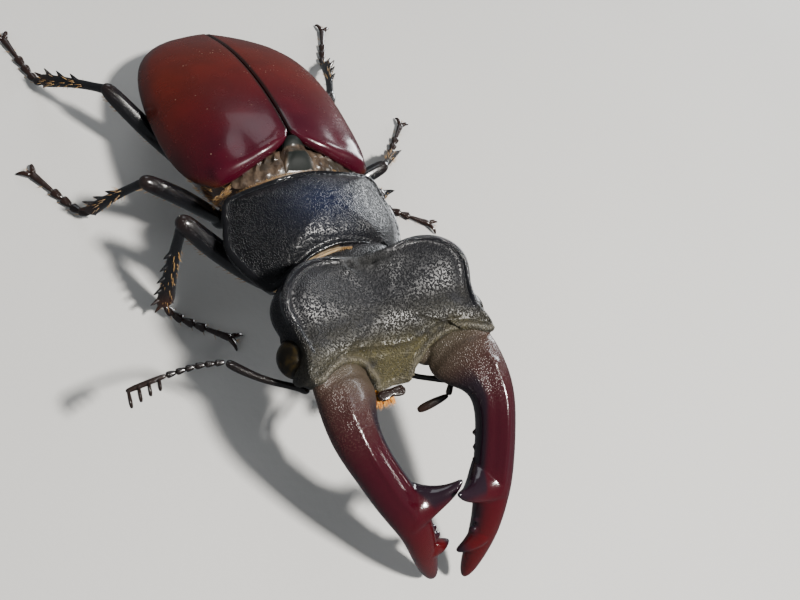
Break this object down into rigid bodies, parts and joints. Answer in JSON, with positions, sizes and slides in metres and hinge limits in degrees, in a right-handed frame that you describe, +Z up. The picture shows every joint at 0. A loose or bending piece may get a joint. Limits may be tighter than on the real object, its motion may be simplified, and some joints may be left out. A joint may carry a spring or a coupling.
{
  "type": "stag beetle",
  "caption": "Stag beetle, a large male standing still, with long curved antler-like mandibles, wing cases closed and head turned slightly down.",
  "frame": {"origin": "middle of the bounding box in plan, at the floor that the feet stand on", "axes": "+Z up; the head faces -Y; the beetle's left side is +X"},
  "size_m": [0.0482, 0.0726, 0.0175],
  "materials": {
    "head_shell": "dull black granular shell, standing in for chitin",
    "black_shell": "glossy black punctured shell, standing in for chitin",
    "wing_case": "glossy dark maroon, browner towards the rear and sides, standing in for chitin",
    "mandible_shell": "granular grey-brown at the base, glossy dark wine red along the shaft, standing in for chitin",
    "belly": "dark brown segmented shell with fine golden hair, standing in for chitin",
    "eye": "smooth glossy dark brown",
    "feeler": "dark brown, glossy",
    "leg_shell": "glossy black, red-brown at the ends",
    "brush": "orange hair of the mouth brush"
  },
  "bodies": {
    "root": {"mandible_left": "mandible_shell", "mandible_right": "mandible_shell", "head": "head_shell", "eye_left": "eye", "eye_right": "eye", "labrum": "head_shell", "mouth_brush": "brush", "maxillary_palp_left": "feeler", "antenna_scape_left": "feeler", "antenna_funicle_left": "feeler", "antenna_club_left": "feeler", "maxillary_palp_right": "feeler", "antenna_scape_right": "feeler", "antenna_funicle_right": "feeler", "antenna_club_right": "feeler", "pronotum": "black_shell", "prosternum": "black_shell", "fore_left_coxa": "leg_shell", "fore_right_coxa": "leg_shell", "elytron_left": "wing_case", "elytron_right": "wing_case", "metathorax": "belly", "abdomen": "belly", "mesothorax": "belly", "scutellum": "black_shell", "mid_left_coxa": "leg_shell", "mid_right_coxa": "leg_shell", "hind_left_coxa": "leg_shell", "hind_right_coxa": "leg_shell", "fore_left_tarsus": "leg_shell", "fore_left_tibia": "leg_shell", "fore_left_femur": "leg_shell", "fore_right_tarsus": "leg_shell", "fore_right_tibia": "leg_shell", "fore_right_femur": "leg_shell", "mid_left_tarsus": "leg_shell", "mid_left_tibia": "leg_shell", "mid_left_femur": "leg_shell", "mid_right_tarsus": "leg_shell", "mid_right_tibia": "leg_shell", "mid_right_femur": "leg_shell", "hind_left_tarsus": "leg_shell", "hind_left_tibia": "leg_shell", "hind_left_femur": "leg_shell", "hind_right_tarsus": "leg_shell", "hind_right_tibia": "leg_shell", "hind_right_femur": "leg_shell"}
  },
  "joints": []
}
